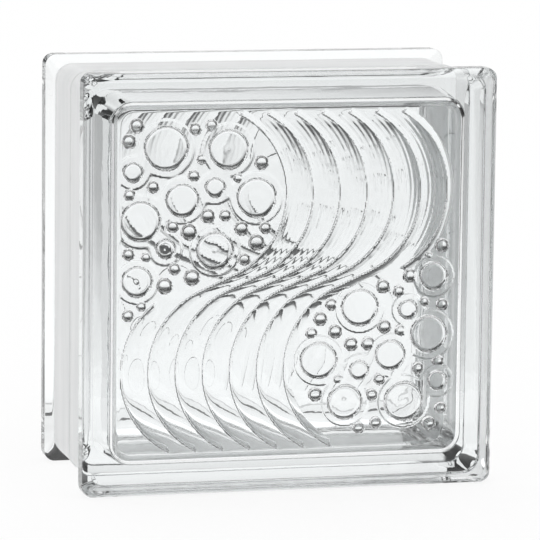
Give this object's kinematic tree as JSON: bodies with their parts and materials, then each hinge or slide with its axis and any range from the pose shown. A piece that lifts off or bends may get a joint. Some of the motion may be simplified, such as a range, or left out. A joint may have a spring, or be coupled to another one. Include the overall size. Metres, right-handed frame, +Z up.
{
  "type": "hollow glass block",
  "caption": "Square hollow glass block with a pressed wave and bubble pattern inside both faces, mortar channels and a white coated edge.",
  "frame": {"origin": "middle of the underside, halfway between the two faces, at the level of the rims that the block stands on", "axes": "+Z up as laid in a wall, -Y out of the front face, +X to the right seen from the front"},
  "size_m": [0.19, 0.1, 0.19],
  "materials": {
    "clear_glass": "pressed and fire polished",
    "white_coating": "matt"
  },
  "bodies": {
    "root": {"front_half": "clear_glass", "rear_half": "clear_glass", "edge_coating": "white_coating"}
  },
  "joints": []
}
